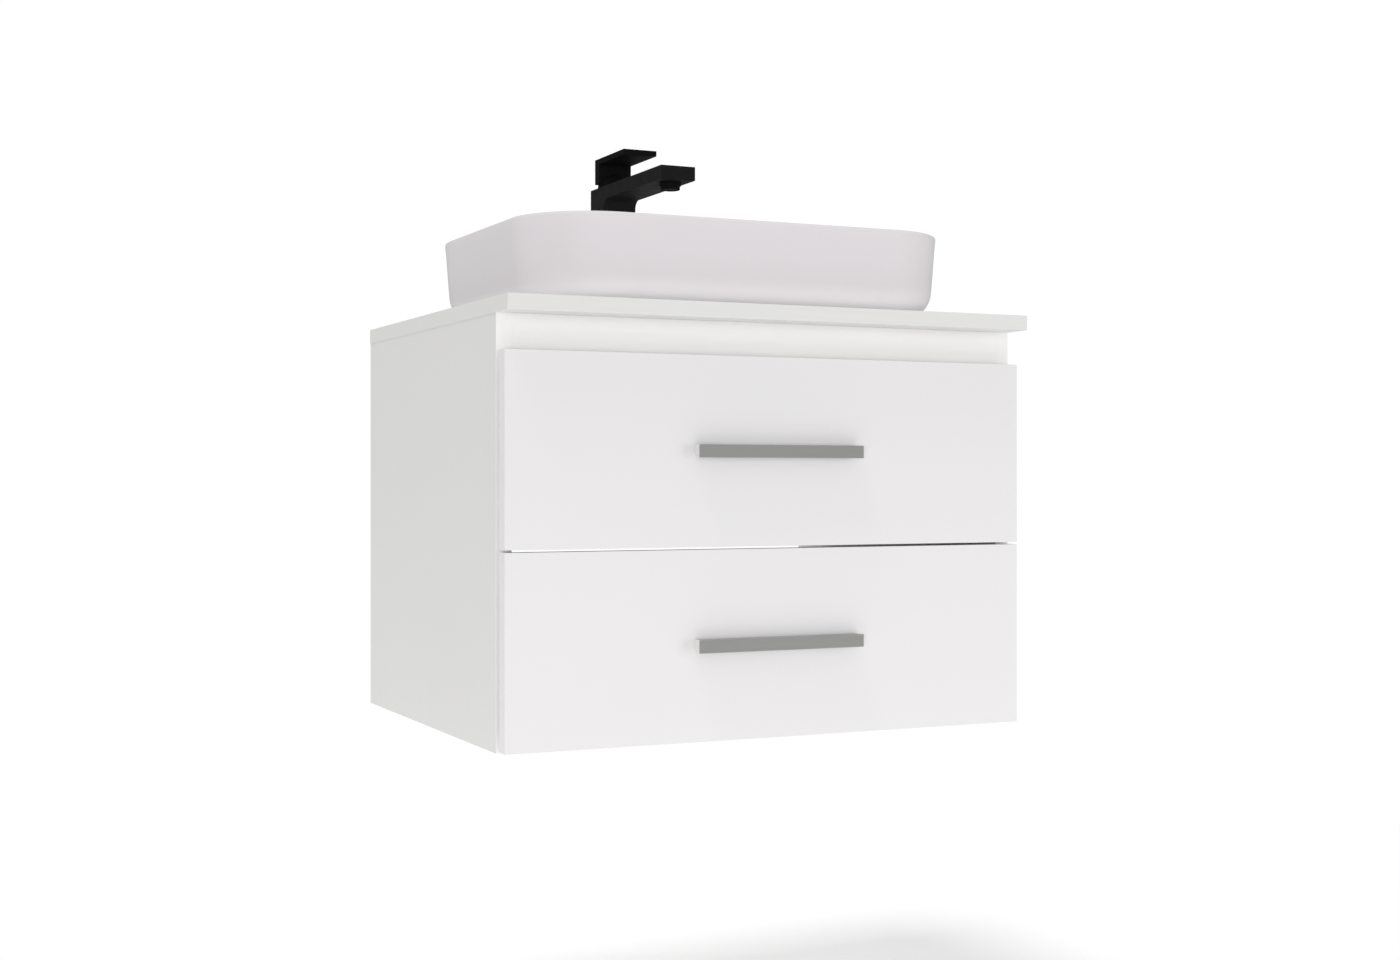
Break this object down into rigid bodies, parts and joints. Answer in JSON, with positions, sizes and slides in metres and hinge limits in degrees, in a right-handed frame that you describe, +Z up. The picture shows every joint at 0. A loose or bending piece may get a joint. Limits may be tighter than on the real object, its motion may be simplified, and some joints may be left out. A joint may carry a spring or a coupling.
{
  "type": "vessel sink on vanity",
  "caption": "Wall-hung bathroom vanity with two full-width drawers on ball runners, a worktop, a rounded vessel sink and a single-lever tap.",
  "frame": {"origin": "centre of the four wall bolt holes, on the wall plane, half way up the cabinet and in the middle of its width", "axes": "+Z up, -Y out of the wall towards the user, +X to the user's right; the wall is the plane Y = 0"},
  "size_m": [0.6, 0.5, 0.6672],
  "materials": {
    "white_board": "white melamine board with matching edge banding, satin",
    "worktop_board": "white lacquered board, satin",
    "front_board": "white lacquered board, satin",
    "handle_metal": "brushed, grey anodised",
    "zinc_steel": "zinc-plated",
    "glazed_white": "white glaze, glossy",
    "sealant": "white silicone",
    "chrome_plate": "polished",
    "black_rubber": "matt",
    "trap_plastic": "white, moulded",
    "black_tap": "matt black powder coat",
    "tap_brass": "machined",
    "cartridge_plastic": "moulded",
    "aerator_plastic": "moulded"
  },
  "bodies": {
    "cabinet": {"countertop": "worktop_board", "side_left": "white_board", "side_right": "white_board", "bottom_panel": "white_board", "front_rail": "white_board", "hanging_rail": "white_board", "lower_rail": "white_board", "cam_locks": "zinc_steel", "cam_bolts": "zinc_steel", "top_brackets": "zinc_steel", "bracket_screws": "zinc_steel", "cabinet_runners": "zinc_steel", "runner_screws": "zinc_steel", "basin": "glazed_white", "basin_seal": "sealant", "drain_body": "chrome_plate", "drain_gasket": "black_rubber", "drain_nut": "chrome_plate", "trap_inlet_tube": "trap_plastic", "trap_inlet_nut": "trap_plastic", "trap_body": "trap_plastic", "trap_cup": "trap_plastic", "trap_outlet_nut": "trap_plastic", "trap_outlet_pipe": "trap_plastic", "tap_body": "black_tap", "tap_base_seal": "black_rubber", "tap_shank": "tap_brass", "tap_nut": "tap_brass", "tap_cartridge": "cartridge_plastic", "cartridge_nut": "tap_brass", "aerator_housing": "black_tap", "aerator_insert": "aerator_plastic"},
    "upper_drawer": {"upper_front": "front_board", "upper_handle": "handle_metal", "upper_drawer_screws": "zinc_steel", "upper_box_front": "white_board", "upper_side_left": "white_board", "upper_side_right": "white_board", "upper_backs": "white_board", "upper_recess_walls": "white_board", "upper_bottom": "white_board", "upper_drawer_runners": "zinc_steel"},
    "upper_middle": {"upper_middle_runners": "zinc_steel"},
    "lower_drawer": {"lower_front": "front_board", "lower_handle": "handle_metal", "lower_drawer_screws": "zinc_steel", "lower_box_front": "white_board", "lower_side_left": "white_board", "lower_side_right": "white_board", "lower_back": "white_board", "lower_bottom": "white_board", "lower_drawer_runners": "zinc_steel"},
    "lower_middle": {"lower_middle_runners": "zinc_steel"},
    "swivel": {"tap_spindle": "tap_brass", "lever_pin": "zinc_steel"},
    "lever": {"lever_dome": "black_tap", "tap_lever": "black_tap", "lever_screw": "zinc_steel"},
    "plug": {"drain_plug": "chrome_plate", "plug_seal": "black_rubber"}
  },
  "joints": [
    {"name": "upper_drawer_slide", "type": "slide", "parent": "cabinet", "child": "upper_drawer", "axis": [0, -1, 0], "range_m": [0, 0.38]},
    {"name": "upper_middle_slide", "type": "slide", "parent": "cabinet", "child": "upper_middle", "axis": [0, -1, 0], "range_m": [0, 0.19]},
    {"name": "lower_drawer_slide", "type": "slide", "parent": "cabinet", "child": "lower_drawer", "axis": [0, -1, 0], "range_m": [0, 0.38]},
    {"name": "lower_middle_slide", "type": "slide", "parent": "cabinet", "child": "lower_middle", "axis": [0, -1, 0], "range_m": [0, 0.19]},
    {"name": "lever_swivel", "type": "hinge", "parent": "cabinet", "child": "swivel", "pos_m": [0, -0.038, 0.4075], "axis": [0, 0, 1], "range_deg": [-45, 45]},
    {"name": "lever_lift", "type": "hinge", "parent": "swivel", "child": "lever", "pos_m": [0, -0.038, 0.4075], "axis": [-1, 0, 0], "range_deg": [0, 20]},
    {"name": "plug_slide", "type": "slide", "parent": "cabinet", "child": "plug", "axis": [0, 0, 1], "range_m": [0, 0.007]}
  ],
  "couplings": [
    {"joint": "upper_middle_slide", "follows": "upper_drawer_slide", "ratio": 0.5},
    {"joint": "lower_middle_slide", "follows": "lower_drawer_slide", "ratio": 0.5}
  ]
}
